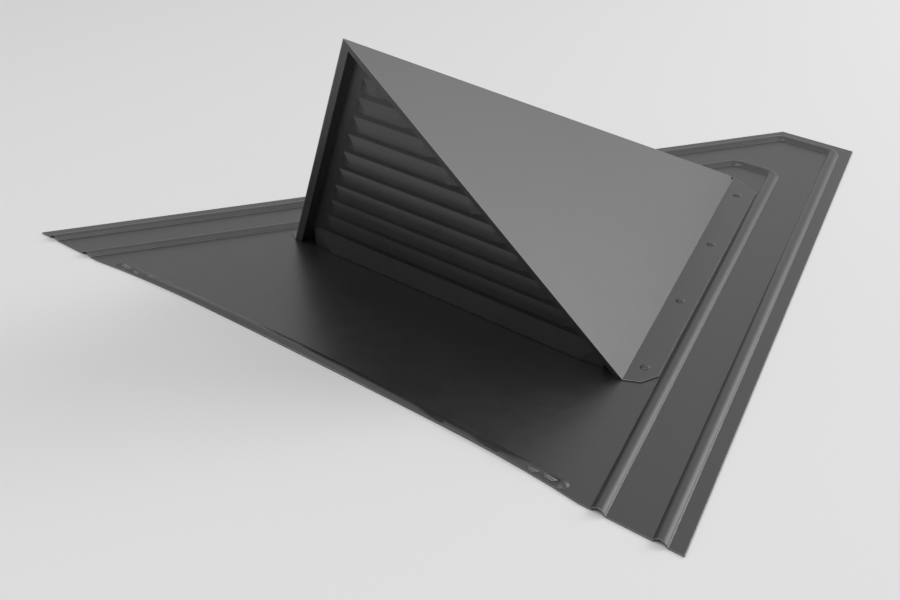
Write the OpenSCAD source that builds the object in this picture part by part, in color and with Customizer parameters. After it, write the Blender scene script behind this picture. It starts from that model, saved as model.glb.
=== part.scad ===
// Triangular roof vent of pressed and folded zinc sheet, in millimetres.
// X runs across the roof, -Y is the open front that faces down the slope, Z is up.
// The part lies on the underside of its base plate at Z = 0.

/* [Sheet] */
// Thickness of the zinc sheet
sheet = 0.7; // [0.6:0.05:1]

/* [Base plate] */
// Width of the front edge
plate_w = 600; // [590:1:640]
// Width of the short back edge
plate_back_w = 70; // [60:1:80]
// Length from the front edge to the back edge
plate_l = 577; // [570:1:600]
// Width of the side beads, foot to foot
bead_w = 9.6; // [8:0.1:11]
// Height of the side beads above the sheet
bead_h = 2.8; // [2:0.1:3.5]
// Distance of the outer bead from the front corner, along the front edge
outer_bead_in = 16; // [14:0.5:20]
// Distance of the inner bead from the front corner, along the front edge
inner_bead_in = 58.3; // [54:0.1:62]
// Distance of the outer bead from the back edge
outer_bead_back = 15; // [13:0.5:20]
// Distance of the inner bead from the back edge
inner_bead_back = 91; // [85:1:96]
// Turn of the outer bead at the back corners
outer_turn = 9; // [8:0.5:12]
// Turn of the inner bead at the back corners
inner_turn = 12; // [10:0.5:14]
// Length of the front bead between its round ends
front_bead_l = 418; // [380:1:430]
// Width of the front bead
front_bead_w = 9; // [7:0.5:10]
// Height of the front bead above the sheet
front_bead_h = 1.9; // [1.2:0.1:2.4]
// How far the front bead bows back in the middle
front_bow = 5.5; // [3:0.5:7]
// How far the front edge is drawn back in the middle
edge_draw = 8; // [4:0.5:10]
// Distance from the front corners to where the drawn-back edge starts
edge_in = 72; // [68:1:76]
// Gap between the front bead and the front edge, in the middle
edge_gap = 0.7; // [0.4:0.1:2]
// Gap between the hood's front corners and the front of the air hole
hole_front_in = 26.6; // [20:0.2:34]
// Gap between the back of the air hole and the hood's back point
hole_back_in = 68; // [58:1:120]
// Gap between the sides of the air hole and the fold of the hood, across the roof
hole_side_in = 16; // [12:0.5:24]

/* [Hood] */
// Distance of the hood's front corners from the front edge
hood_y = 125.4; // [122:0.1:130]
// Gap across the roof from the hood's front corners to the middle of the inner bead
flange_room = 28; // [27:0.1:32]
// Gap between the hood's back point and the back run of the inner bead
tail_room = 28; // [24:0.5:34]
// Distance of the apex from the front edge
apex_y = 40.7; // [30:0.1:50]
// Height of the apex above the plate
apex_h = 203.4; // [190:0.1:215]
// Depth of the folded-in lip round the opening
lip = 4.5; // [3:0.5:5]
// Length of the slanting back edge of the flanges, along the roof
flange_slant = 16; // [10:1:22]

/* [Louvre panel] */
// Setback of the panel behind the lip, square to the panel
setback = 8; // [7:0.5:12]
// Number of louvres
louvres = 9; // [5:1:9]
// Height of the lowest slit, measured up the panel
first_slit = 21.6; // [20.6:0.1:23]
// Spacing of the louvres up the panel
pitch = 18.75; // [18.2:0.05:18.9]
// Height of one louvre from its slit to its hinge, measured up the panel
louvre_h = 12; // [10:0.5:15]
// How far the lip of a louvre stands out
louvre_out = 2.8; // [2:0.1:4]
// How far the lip of a louvre is drawn up from its slit
louvre_rise = 0.8; // [0:0.1:1.5]
// Rounding of a louvre across its height
louvre_bulge = 0.5; // [0.3:0.1:1]
// Gap across the roof from the hood's front corners to the ends of the lowest slit
slit_in = 35.5; // [33:0.5:42]
// How much shorter the hinge of a louvre is than its slit, at each end
hinge_in = 7.2; // [5:0.2:8]
// How much shorter the lip of a louvre is than its slit, at each end
lip_in = 11.2; // [9:0.2:12]
// Depth of the panel's side flanges
panel_flange = 12; // [8:1:16]
// Distance of the lowest slit above the fold over the apron
apron_in = 7.4; // [6.5:0.1:9]
// Gap across the roof from the hood's front corners to the ends of the apron
apron_gap = 19.1; // [18.6:0.1:24]
// Width of the bent-back lower corners of the apron
corner_w = 20; // [14:1:24]
// Slant of the corner folds of the apron, from upright
corner_slant = 53; // [48:1:60]
// Turn of the bent-back corners of the apron
corner_turn = 10; // [4:1:14]

/* [Rivets] */
// Shank diameter
rivet_d = 3.2; // [2.8:0.1:3.4]
// Head diameter
rivet_head_d = 6.4; // [6:0.1:7.5]
// Head height
rivet_head_h = 1.1; // [0.8:0.1:1.4]
// Number of rivets in each flange
rivet_count = 4; // [3:1:6]
// Distance of the first rivet behind the hood's front corners
rivet_front_in = 22.6; // [20:0.2:30]
// Distance of the last rivet in front of the hood's back point
rivet_back_in = 32; // [26:0.5:44]
// Distance of the rivets from the fold of the hood, across the roof
rivet_out = 10.2; // [9:0.1:12]

/* [Hidden] */
$fn = 96;
far = 900;
swell = 0.04;
half_w = plate_w / 2;
side_k = (half_w - plate_back_w / 2) / plate_l;
side_az = atan(side_k);
hood_a = half_w - inner_bead_in - side_k * hood_y - flange_room;
hood_back = plate_l - inner_bead_back - tail_room;
fold_k = hood_a / (hood_back - hood_y);
fold_az = atan(fold_k);
fold_reach = hood_a * cos(fold_az) + (hood_y - apex_y) * sin(fold_az);
side_tilt = atan(fold_reach / apex_h);
lean = atan((hood_y - apex_y) / apex_h);
bead_r = (bead_w * bead_w / 4 + bead_h * bead_h) / (2 * bead_h);
front_r = (front_bead_w * front_bead_w / 4 + front_bead_h * front_bead_h) / (2 * front_bead_h);
front_bead_y = edge_draw + edge_gap + front_bead_w / 2;
bow_r = (front_bead_l * front_bead_l / 4 + front_bow * front_bow) / (2 * front_bow);
bow_a = asin(front_bead_l / 2 / bow_r);
bead_foot = bead_w / 2 / cos(side_az);
edge_half = half_w - edge_in;
hole_front = hood_y + hole_front_in;
hole_back = hood_back - hole_back_in;
rivet_run = hood_back - hood_y - rivet_front_in - rivet_back_in;
louvre_chord = norm([louvre_h - louvre_rise, louvre_out]);
louvre_r = (louvre_chord * louvre_chord / 4 + louvre_bulge * louvre_bulge) / (2 * louvre_bulge);
louvre_tilt = atan(louvre_out / (louvre_h - louvre_rise));
louvre_step = pitch * hood_a * cos(lean) / apex_h;
end_slant = atan(hinge_in / louvre_h);
end_reach = (lip_in * louvre_h - louvre_rise * hinge_in) / norm([hinge_in, louvre_h]);
end_turn = atan(louvre_out / end_reach);
apron_half = hood_a - apron_gap;
apron_low = sheet + 0.3;
apron_top = first_slit - apron_in;
panel_top = first_slit + pitch * (louvres - 1) + louvre_h + 16.4;
apron_y = hood_y + setback * cos(lean) - apron_top * sin(lean);
apron_z = setback * sin(lean) + apron_top * cos(lean);
zinc = [0.32, 0.33, 0.34];
zinc_lit = [0.42, 0.43, 0.44];
zinc_dark = [0.24, 0.25, 0.26];

// Moves the plan so that its middle is at the origin
module centred()
    translate([0, -plate_l / 2, 0]) children();

// Round-topped section of a pressed bead, cut off below low
module bead_section(r, rise, low)
    intersection() {
        translate([0, rise - r]) circle(r = r, $fn = 96);
        translate([-20, low]) square([40, 40]);
    }

// A run of bead on the plate, from a point and in a direction
module bead_run(from, turn, len, r, rise, low)
    translate([from[0], from[1], 0])
        rotate([0, 0, turn])
            rotate([90, 0, 90])
                linear_extrude(height = len) bead_section(r, rise, low);

// Both side runs, the two turns and the back run of one bead
module side_bead(inset, back, turn_r, r, rise, low) {
    x0 = half_w - inset;
    yb = plate_l - back;
    ix = x0 - side_k * yb;
    cut = turn_r * tan((90 - side_az) / 2);
    run = (yb + 12) / cos(side_az) - cut;
    for (side = [0, 1]) mirror([side, 0, 0]) {
        bead_run([x0 + side_k * 12, -12], 90 + side_az, run, r, rise, low);
        translate([ix - cut, yb - turn_r, 0])
            rotate([0, 0, side_az - 3])
                rotate_extrude(angle = 96 - side_az)
                    translate([turn_r, 0]) bead_section(r + swell, rise + swell, low);
    }
    bead_run([cut - ix, yb], 0, 2 * (ix - cut), r, rise, low);
}

// The bowed bead along the front edge, with its closed round ends
module front_bead(r, rise, low) {
    translate([0, front_bead_y - bow_r, 0])
        rotate([0, 0, 90 - bow_a])
            rotate_extrude(angle = 2 * bow_a, $fn = 3600)
                translate([bow_r, 0]) bead_section(r, rise, low);
    for (side = [0, 1]) mirror([side, 0, 0])
        translate([front_bead_l / 2, front_bead_y - front_bow, 0])
            rotate_extrude()
                intersection() {
                    bead_section(r + swell, rise + swell, low);
                    translate([0, -20]) square([40, 40]);
                }
}

// How far back the front edge is, from -1 to 1 across its drawn-back part
function edge_y(t) = edge_draw * (1 - pow(t, 4));

// Plan of the base plate
module plate_plan()
    polygon(concat(
        [[-half_w, 0]],
        [for (n = [-10:10]) [edge_half * n / 10, edge_y(n / 10)]],
        [[half_w, 0], [plate_back_w / 2, plate_l], [-plate_back_w / 2, plate_l]]
    ));

// Plan of the air hole under the hood
module air_hole()
    polygon([
        [-hole_x(hole_front), hole_front], [hole_x(hole_front), hole_front],
        [hole_x(hole_back), hole_back], [-hole_x(hole_back), hole_back]
    ]);

function fold_x(y) = hood_a - fold_k * (y - hood_y);
function hole_x(y) = fold_x(y) - hole_side_in;
function bead_x(y) = half_w - inner_bead_in - side_k * y - bead_foot;
function rivet_y(n) = hood_y + rivet_front_in + rivet_run * n / (rivet_count - 1);
function rivet_x(y) = fold_x(y) + rivet_out;

// Base plate with its pressed beads and air hole
module base_plate()
    color(zinc) centred() difference() {
        intersection() {
            union() {
                translate([-half_w - 5, -5, 0]) cube([plate_w + 10, plate_l + 10, sheet]);
                side_bead(outer_bead_in, outer_bead_back, outer_turn, bead_r, bead_h + sheet, 0);
                side_bead(inner_bead_in, inner_bead_back, inner_turn, bead_r, bead_h + sheet, 0);
                front_bead(front_r, front_bead_h + sheet, 0);
            }
            translate([0, 0, -5]) linear_extrude(height = 20) plate_plan();
        }
        side_bead(outer_bead_in, outer_bead_back, outer_turn, bead_r - sheet, bead_h, -1);
        side_bead(inner_bead_in, inner_bead_back, inner_turn, bead_r - sheet, bead_h, -1);
        front_bead(front_r - sheet, front_bead_h, -1);
        translate([0, 0, -5]) linear_extrude(height = 20) air_hole();
        rivet_places() translate([0, 0, -5]) cylinder(d = rivet_d, h = 20);
    }

// Everything inside the right-hand side face of the hood, drawn in by inset
module inside_right(inset)
    translate([hood_a, hood_y, sheet])
        rotate([0, 0, fold_az])
            rotate([0, -side_tilt, 0])
                translate([-far - inset, -far, -far]) cube([far, 2 * far, 2 * far]);

// Everything inside both side faces
module inside(inset)
    intersection() {
        inside_right(inset);
        mirror([1, 0, 0]) inside_right(inset);
    }

// Places a solid in the leaning frame of the opening: Y square to it, Z up it
module opening_frame()
    translate([0, hood_y, sheet]) rotate([lean, 0, 0]) children();

// Everything in front of a fold that starts at a point, slants sideways and turns back
module beyond_fold(at, slant, turn, inset)
    translate(at)
        rotate([0, slant, 0])
            rotate([0, 0, turn])
                translate([-far / 2, inset - far, -far / 2]) cube(far);

// A layer parallel to the opening, from one depth to another
module layer(from, to, low, high)
    opening_frame() translate([-far / 2, from, low]) cube([far, to - from, high - low]);

// Plan of the flange on one side
module flange_plan()
    polygon([
        [hood_a - 0.7, hood_y], [hood_a + 0.3, hood_y],
        [hood_a + 10, hood_y + 5.5], [bead_x(hood_y + 19) - 1, hood_y + 19],
        [bead_x(hood_back - flange_slant - 2) - 1, hood_back - flange_slant - 2],
        [fold_x(hood_back - 2) + 2, hood_back - 2], [fold_x(hood_back - 2) - 0.7, hood_back - 2]
    ]);

// Hood folded from one sheet: two side faces, front lip and flanges
module hood()
    color(zinc_lit) centred()
        difference() {
            union() {
                intersection() {
                    inside(0);
                    layer(0, far, -far / 2, far);
                    translate([-far / 2, -far / 2, sheet]) cube(far);
                }
                for (side = [0, 1]) mirror([side, 0, 0])
                    translate([0, 0, sheet]) linear_extrude(height = sheet) flange_plan();
            }
            intersection() {
                inside(sheet);
                layer(sheet, far, -far / 2, far);
            }
            intersection() {
                inside(lip);
                layer(-5, far, -far / 2, far);
            }
            rivet_places() translate([0, 0, -5]) cylinder(d = rivet_d, h = 20);
        }

// Section of a louvre: X rises up the panel, Y stands out from it
module louvre_section(r, low, behind)
    intersection() {
        translate([(louvre_h + louvre_rise) / 2, louvre_out / 2])
            rotate(90 - louvre_tilt)
                translate([louvre_bulge - louvre_r, 0]) circle(r = r);
        translate([low, -behind]) square([40, 20]);
    }

// One louvre, closed by a three-cornered face at either end of its slit
module louvre_form(half, r, low, behind, inset)
    difference() {
        rotate([180, -90, 0])
            translate([0, 0, -half])
                linear_extrude(height = 2 * half) louvre_section(r, low, behind);
        for (side = [0, 1]) mirror([side, 0, 0])
            beyond_fold([half, 0, 0], -end_slant, end_turn, inset);
    }

// Every louvre on the face of the panel
module louvre_rows(r, low, behind, inset)
    opening_frame()
        for (n = [0:louvres - 1])
            translate([0, setback, first_slit + pitch * n])
                louvre_form(hood_a - slit_in - louvre_step * n, r, low, behind, inset);

// Block behind the face of the apron, with its lower corners bent back
module apron_block(inset, room)
    difference() {
        translate([-apron_half - room, apron_y + inset, apron_low - room])
            cube([2 * (apron_half + room), 4 + room, apron_z - 0.3 + 0.5 + 2 * room]);
        for (side = [0, 1]) mirror([side, 0, 0])
            beyond_fold([apron_half - corner_w, apron_y, apron_low], corner_slant, corner_turn, inset);
    }

// Panel pressed from one sheet: louvres, side flanges and apron
module louvre_panel()
    color(zinc_dark) centred() difference() {
        union() {
            intersection() {
                inside(sheet);
                layer(setback, setback + panel_flange, apron_top, panel_top);
            }
            difference() {
                apron_block(0, 0);
                apron_block(sheet, 6);
            }
            louvre_rows(louvre_r, louvre_rise, sheet, 0);
        }
        intersection() {
            inside(2 * sheet);
            layer(setback + sheet, far, -far, far);
        }
        louvre_rows(louvre_r - sheet, 0, sheet + 1, sheet);
    }

// Puts a solid at each rivet
module rivet_places()
    for (side = [0, 1]) mirror([side, 0, 0])
        for (n = [0:rivet_count - 1])
            translate([rivet_x(rivet_y(n)), rivet_y(n), 0]) children();

// Rivets with low domed heads, flush underneath
module rivets()
    color(zinc) centred() rivet_places() {
        cylinder(d = rivet_d, h = 2 * sheet);
        translate([0, 0, 2 * sheet]) intersection() {
            cylinder(d = rivet_head_d, h = rivet_head_h);
            translate([0, 0, rivet_head_h - 6]) sphere(r = 6);
        }
    }

base_plate();
hood();
louvre_panel();
rivets();
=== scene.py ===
"""Dresses the triangular zinc roof vent: rolled and weathered zinc on each sheet, a pale floor, soft studio light and the camera."""
import math

import bpy
from bpy.props import FloatProperty, FloatVectorProperty, PointerProperty
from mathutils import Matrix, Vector

bl_info = {
    "name": "Triangular Zinc Roof Vent",
    "version": (1, 0, 0),
    "blender": (4, 5, 0),
    "location": "View3D > Sidebar > Roof Vent",
    "description": "Weathered zinc finishes and a studio for a triangular roof vent",
    "category": "Object",
}

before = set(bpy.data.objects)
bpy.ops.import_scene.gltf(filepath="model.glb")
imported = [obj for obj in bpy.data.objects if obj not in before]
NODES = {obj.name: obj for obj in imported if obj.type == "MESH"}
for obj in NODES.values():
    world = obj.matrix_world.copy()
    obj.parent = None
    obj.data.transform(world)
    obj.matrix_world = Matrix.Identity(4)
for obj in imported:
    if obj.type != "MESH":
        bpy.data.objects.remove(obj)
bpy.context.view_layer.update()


def grey(level, warmth=0.0):
    """A zinc grey in linear light, a little warm or cold."""
    return (level * (1 + warmth), level, level * (1 - warmth * 0.6))


# Shader expressions


class Wire:
    """A node's output socket that takes part in Python expressions."""

    def __init__(self, shader, socket):
        self.shader = shader
        self.socket = socket

    def _math(self, operation, *others, flip=False):
        values = [self, *others]
        if flip:
            values.reverse()
        inputs = dict(enumerate(values))
        return self.shader.node("ShaderNodeMath", {"operation": operation}, inputs)

    def __add__(self, other):
        return self._math("ADD", other)

    def __radd__(self, other):
        return self._math("ADD", other, flip=True)

    def __sub__(self, other):
        return self._math("SUBTRACT", other)

    def __rsub__(self, other):
        return self._math("SUBTRACT", other, flip=True)

    def __mul__(self, other):
        return self._math("MULTIPLY", other)

    def __rmul__(self, other):
        return self._math("MULTIPLY", other, flip=True)

    def __truediv__(self, other):
        return self._math("DIVIDE", other)

    def __pow__(self, other):
        return self._math("POWER", other)

    def __abs__(self):
        return self._math("ABSOLUTE")

    def clamp(self):
        """The value held between 0 and 1."""
        settings = {"operation": "ADD", "use_clamp": True}
        return self.shader.node("ShaderNodeMath", settings, {0: self, 1: 0.0})

    def ramp(self, low, high):
        """0 at low, 1 at high, and smooth between them."""
        settings = {"interpolation_type": "SMOOTHSTEP"}
        inputs = {"Value": self, "From Min": low, "From Max": high}
        return self.shader.node("ShaderNodeMapRange", settings, inputs)


class Shader:
    """Builds a material's nodes from expressions."""

    def __init__(self, name):
        self.material = bpy.data.materials.new(name)
        self.material.use_nodes = True
        self.tree = self.material.node_tree
        self.tree.nodes.clear()

    def node(self, kind, settings=None, inputs=None, output=0):
        """Adds a node; its settings come first, then its sockets' values or links."""
        node = self.tree.nodes.new(kind)
        for name, value in (settings or {}).items():
            setattr(node, name, value)
        for name, value in (inputs or {}).items():
            if isinstance(value, Wire):
                self.tree.links.new(value.socket, node.inputs[name])
            else:
                node.inputs[name].default_value = value
        return Wire(self, node.outputs[output] if node.outputs else None)

    def blend(self, factor, low, high):
        """Mixes two colours."""
        inputs = {0: factor, 6: low, 7: high}
        return self.node("ShaderNodeMix", {"data_type": "RGBA"}, inputs, 2)

    def vector(self, operation, first, second=None, output=0, scale=None):
        """One step of vector arithmetic."""
        inputs = {0: first}
        if second is not None:
            inputs[1] = second
        if scale is not None:
            inputs["Scale"] = scale
        settings = {"operation": operation}
        return self.node("ShaderNodeVectorMath", settings, inputs, output)

    def noise(self, where, scale, detail=3.0, roughness=0.55):
        """Cloudy variation around 0, at a scale per metre."""
        inputs = {"Vector": where, "Scale": scale, "Detail": detail, "Roughness": roughness}
        return self.node("ShaderNodeTexNoise", {}, inputs) - 0.5

    def finish(self, surface):
        """Ends the material in its surface."""
        self.node("ShaderNodeOutputMaterial", {}, {"Surface": surface})
        return self.material


# Sizes and colours that a user may change


class VentZincProps(bpy.types.PropertyGroup):
    """Finish of the weathered zinc sheets."""

    plate_colour: FloatVectorProperty(
        name="Plate Colour", description="Colour of the weathered base plate",
        subtype="COLOR", size=3, min=0, max=1, default=grey(0.085, 0.01))
    hood_colour: FloatVectorProperty(
        name="Hood Colour", description="Colour of the weathered hood",
        subtype="COLOR", size=3, min=0, max=1, default=grey(0.1, 0.01))
    panel_colour: FloatVectorProperty(
        name="Louvre Colour", description="Colour of the louvred panel",
        subtype="COLOR", size=3, min=0, max=1, default=grey(0.085, 0.0))
    rivet_colour: FloatVectorProperty(
        name="Rivet Colour", description="Colour of the rivet heads",
        subtype="COLOR", size=3, min=0, max=1, default=grey(0.09, 0.0))
    # Folds and cut edges are blended towards this brighter grey. This is partly real wear of the patina and partly a
    # painted highlight where the folds catch the light.
    wear_and_highlight_colour: FloatVectorProperty(
        name="Fold Colour", description="Brighter metal where a fold or cut has broken the patina",
        subtype="COLOR", size=3, min=0, max=1, default=grey(0.3, 0.0))
    wear_and_highlight_strength: FloatProperty(
        name="Fold Wear", description="How far the folds and cut edges are brightened",
        subtype="FACTOR", min=0, max=1, default=0.75)
    gloss_spread: FloatProperty(
        name="Roughness", description="Roughness of the satin patina",
        subtype="FACTOR", min=0.05, max=1, default=0.4)
    fold_radius: FloatProperty(
        name="Fold Radius", description="Rounding of the folds and cut edges in the light",
        subtype="DISTANCE", unit="LENGTH", min=0, max=0.003, default=0.0008)
    mottle: FloatProperty(
        name="Mottling", description="Strength of the cloudy patches in the patina",
        subtype="FACTOR", min=0, max=1, default=0.22)
    waviness: FloatProperty(
        name="Waviness", description="Height of the soft waves in the thin sheet",
        subtype="DISTANCE", unit="LENGTH", min=0, max=0.002, default=0.0004)


class VentStageProps(bpy.types.PropertyGroup):
    """Floor, light and camera."""

    floor_colour: FloatVectorProperty(
        name="Floor Colour", description="Colour of the plain floor",
        subtype="COLOR", size=3, min=0, max=1, default=(0.92, 0.92, 0.92))
    sky: FloatProperty(
        name="Room Light", description="Strength of the even light from all sides",
        min=0, max=2, default=0.55)
    key_power: FloatProperty(
        name="Key Lamp", description="Power of the large soft lamp behind on the right",
        subtype="POWER", unit="POWER", min=0, default=26.0)
    fill_power: FloatProperty(
        name="Fill Lamp", description="Power of the large soft lamp above the front",
        subtype="POWER", unit="POWER", min=0, default=16.0)
    lens: FloatProperty(
        name="Lens", description="Focal length of the camera in millimetres",
        subtype="DISTANCE_CAMERA", min=20, max=200, default=65.5)


# Zinc


def zinc(name, colour, grain_axis="Y", mottle=1.0, wear_and_highlight_strength=1.0, soft=0.0):
    """Rolled, weathered zinc: mottled satin patina, fine rolling lines, and folds and cut edges brightened partly as
    wear and partly as a painted highlight.
    """
    props = bpy.context.scene.vent_zinc
    shader = Shader(name)
    where = shader.node("ShaderNodeTexCoord", {}, {}, 3)
    clouds = shader.noise(where, 11.0, 4.0, 0.6)
    patches = shader.noise(where, 60.0, 4.0, 0.6)
    speckle = shader.noise(where, 900.0, 2.0, 0.6)
    stretch = {"X": (7.0, 480.0, 480.0), "Y": (480.0, 7.0, 480.0)}[grain_axis]
    lines = shader.noise(shader.vector("MULTIPLY", where, stretch), 1.0, 3.0, 0.6)

    # The turn of the rounded normal finds folds and cut edges, convex and concave. These are blended towards the
    # brighter grey: partly real wear of the patina, partly a painted highlight where the folds catch the light.
    rounded = shader.node("ShaderNodeBevel", {"samples": 6}, {"Radius": props.fold_radius})
    plain = shader.node("ShaderNodeNewGeometry", {}, {}, 1)
    turned = 1 - shader.vector("DOT_PRODUCT", rounded, plain, output=1)
    wear_and_highlight_mask = turned.ramp(0.004, 0.09) * (0.85 + patches * 0.8).clamp() * (props.wear_and_highlight_strength * wear_and_highlight_strength)

    strength = props.mottle * mottle
    tone = 1 + clouds * strength + patches * (strength * 0.7) + lines * 0.1 + speckle * 0.12
    patina = shader.vector("SCALE", tuple(colour), scale=tone)
    metal = shader.blend(wear_and_highlight_mask, patina, (*props.wear_and_highlight_colour, 1.0))
    spread = props.gloss_spread + soft + clouds * 0.1 + patches * 0.12 + lines * 0.06 - wear_and_highlight_mask * 0.06

    waves = shader.noise(where, 7.0, 1.5, 0.4)
    height = waves * props.waviness + lines * 0.000012 + speckle * 0.00001 + patches * 0.00003
    bump = shader.node("ShaderNodeBump", {}, {"Strength": 1.0, "Distance": 1.0, "Height": height, "Normal": rounded})
    surface = shader.node("ShaderNodeBsdfPrincipled", {}, {
        "Base Color": metal, "Metallic": 0.8, "Roughness": spread.clamp(), "Normal": bump,
        "Specular IOR Level": 0.5})
    return shader.finish(surface)


def dress(node, material):
    """Gives a CAD node its finish through its material slots."""
    if node not in NODES:
        raise RuntimeError(f"the frame has no node {node}")
    slots = NODES[node].material_slots
    if not slots:
        raise RuntimeError(f"{node} has no material slot")
    for slot in slots:
        slot.material = material


class VENT_OT_base_plate(bpy.types.Operator):
    """Finish the flat tapering base plate with its pressed beads"""

    bl_idname = "vent.base_plate"
    bl_label = "Finish Base Plate"

    def execute(self, context):
        dress("base_plate", zinc("plate_weathered_zinc", context.scene.vent_zinc.plate_colour))
        return {"FINISHED"}


class VENT_OT_hood(bpy.types.Operator):
    """Finish the folded hood with its lip and flanges"""

    bl_idname = "vent.hood"
    bl_label = "Finish Hood"

    def execute(self, context):
        dress("hood", zinc("hood_weathered_zinc", context.scene.vent_zinc.hood_colour, mottle=0.8, soft=0.03))
        return {"FINISHED"}


class VENT_OT_louvre_panel(bpy.types.Operator):
    """Finish the louvred panel and its apron"""

    bl_idname = "vent.louvre_panel"
    bl_label = "Finish Louvre Panel"

    def execute(self, context):
        colour = context.scene.vent_zinc.panel_colour
        dress("louvre_panel", zinc("panel_weathered_zinc", colour, grain_axis="X", mottle=0.7))
        return {"FINISHED"}


class VENT_OT_rivets(bpy.types.Operator):
    """Finish the rivet heads"""

    bl_idname = "vent.rivets"
    bl_label = "Finish Rivets"

    def execute(self, context):
        dress("rivets", zinc("rivet_weathered_zinc", context.scene.vent_zinc.rivet_colour, wear_and_highlight_strength=0.6))
        return {"FINISHED"}


# Stage


def soft_lamp(name, place, size, power):
    """A large square lamp that faces the vent."""
    data = bpy.data.lights.new(name, "AREA")
    data.shape = "SQUARE"
    data.size = size
    data.energy = power
    lamp = bpy.data.objects.new(name, data)
    lamp.location = place
    lamp.rotation_euler = (Vector((0, 0, 0.05)) - Vector(place)).to_track_quat("-Z", "Y").to_euler()
    bpy.context.scene.collection.objects.link(lamp)
    return lamp


def room(strength):
    """Even light all round, white wherever the camera or a reflection looks."""
    world = bpy.data.worlds.new("pale_room")
    world.use_nodes = True
    bpy.context.scene.world = world
    tree = world.node_tree
    tree.nodes.clear()
    path = tree.nodes.new("ShaderNodeLightPath")
    seen = tree.nodes.new("ShaderNodeMath")
    seen.operation = "MAXIMUM"
    tree.links.new(path.outputs["Is Camera Ray"], seen.inputs[0])
    tree.links.new(path.outputs["Is Glossy Ray"], seen.inputs[1])
    shown = tree.nodes.new("ShaderNodeMath")
    shown.operation = "MAXIMUM"
    tree.links.new(seen.outputs[0], shown.inputs[0])
    tree.links.new(path.outputs["Is Transmission Ray"], shown.inputs[1])
    level = tree.nodes.new("ShaderNodeMapRange")
    level.inputs["To Min"].default_value = strength
    level.inputs["To Max"].default_value = 1.0
    tree.links.new(shown.outputs[0], level.inputs["Value"])
    light = tree.nodes.new("ShaderNodeBackground")
    tree.links.new(level.outputs["Result"], light.inputs["Strength"])
    end = tree.nodes.new("ShaderNodeOutputWorld")
    tree.links.new(light.outputs[0], end.inputs["Surface"])


class VENT_OT_stage(bpy.types.Operator):
    """Lay the floor, hang the lamps and set the camera"""

    bl_idname = "vent.stage"
    bl_label = "Set the Stage"

    def execute(self, context):
        props = context.scene.vent_stage
        shader = Shader("pale_floor")
        matt = shader.node("ShaderNodeBsdfDiffuse", {}, {"Color": (*props.floor_colour, 1.0)})
        mesh = bpy.data.meshes.new("floor")
        reach = 12.0
        corners = [(-reach, -reach, -0.0003), (reach, -reach, -0.0003), (reach, reach, -0.0003), (-reach, reach, -0.0003)]
        mesh.from_pydata(corners, [], [(0, 1, 2, 3)])
        mesh.materials.append(shader.finish(matt))
        floor = bpy.data.objects.new("floor", mesh)
        context.scene.collection.objects.link(floor)

        soft_lamp("key_lamp", (0.9, 1.9, 1.0), 1.6, props.key_power)
        soft_lamp("fill_lamp", (0.2, -1.2, 2.2), 1.8, props.fill_power)
        room(props.sky)

        camera_data = bpy.data.cameras.new("camera")
        camera_data.lens = props.lens
        camera_data.sensor_width = 36.0
        camera_data.clip_start = 0.01
        camera = bpy.data.objects.new("camera", camera_data)
        azimuth, elevation = math.radians(44.81), math.radians(25.55)
        ahead = Vector((
            -math.sin(azimuth) * math.cos(elevation),
            math.cos(azimuth) * math.cos(elevation),
            -math.sin(elevation)))
        camera.location = (0.7099, -0.8724, 0.4830)
        camera.rotation_euler = ahead.to_track_quat("-Z", "Y").to_euler()
        context.scene.collection.objects.link(camera)
        context.scene.camera = camera
        context.scene.view_settings.view_transform = "Standard"
        return {"FINISHED"}


class VENT_PT_panel(bpy.types.Panel):
    """Everything that dresses the roof vent"""

    bl_label = "Roof Vent"
    bl_idname = "VENT_PT_panel"
    bl_space_type = "VIEW_3D"
    bl_region_type = "UI"
    bl_category = "Roof Vent"

    def draw(self, context):
        for group in (context.scene.vent_zinc, context.scene.vent_stage):
            box = self.layout.box()
            for name in group.__annotations__:
                box.prop(group, name)
        for operator in OPERATORS:
            self.layout.operator(operator.bl_idname)


OPERATORS = (VENT_OT_base_plate, VENT_OT_hood, VENT_OT_louvre_panel, VENT_OT_rivets, VENT_OT_stage)
CLASSES = (VentZincProps, VentStageProps, *OPERATORS, VENT_PT_panel)


def register():
    for cls in CLASSES:
        bpy.utils.register_class(cls)
    bpy.types.Scene.vent_zinc = PointerProperty(type=VentZincProps)
    bpy.types.Scene.vent_stage = PointerProperty(type=VentStageProps)


def unregister():
    del bpy.types.Scene.vent_stage
    del bpy.types.Scene.vent_zinc
    for cls in reversed(CLASSES):
        bpy.utils.unregister_class(cls)


def main():
    """Builds the whole scene."""
    register()
    bpy.ops.vent.base_plate()
    bpy.ops.vent.hood()
    bpy.ops.vent.louvre_panel()
    bpy.ops.vent.rivets()
    bpy.ops.vent.stage()
    bpy.context.view_layer.update()


if __name__ == "__main__":
    main()
